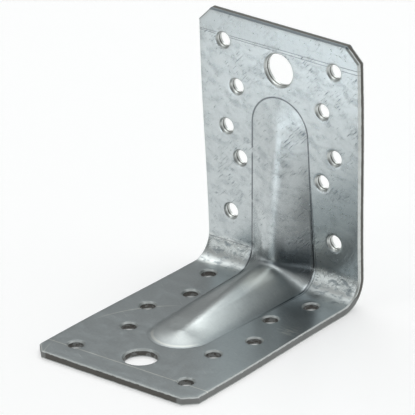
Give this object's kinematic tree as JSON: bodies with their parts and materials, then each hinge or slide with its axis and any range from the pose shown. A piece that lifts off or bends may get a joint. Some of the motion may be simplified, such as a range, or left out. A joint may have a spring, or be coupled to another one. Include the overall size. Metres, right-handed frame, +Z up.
{
  "type": "angle bracket",
  "caption": "Right-angled timber connector folded from galvanised steel sheet, with a stiffening rib pressed across the fold and punched nail and bolt holes.",
  "frame": {"origin": "middle of the base's footprint, on the underside that it rests on", "axes": "+X across the bracket, +Y towards the upright, +Z up along the upright"},
  "size_m": [0.065, 0.09, 0.09],
  "materials": {
    "steel": "galvanised, satin, lightly scuffed"
  },
  "bodies": {
    "root": {"bracket": "steel"}
  },
  "joints": []
}
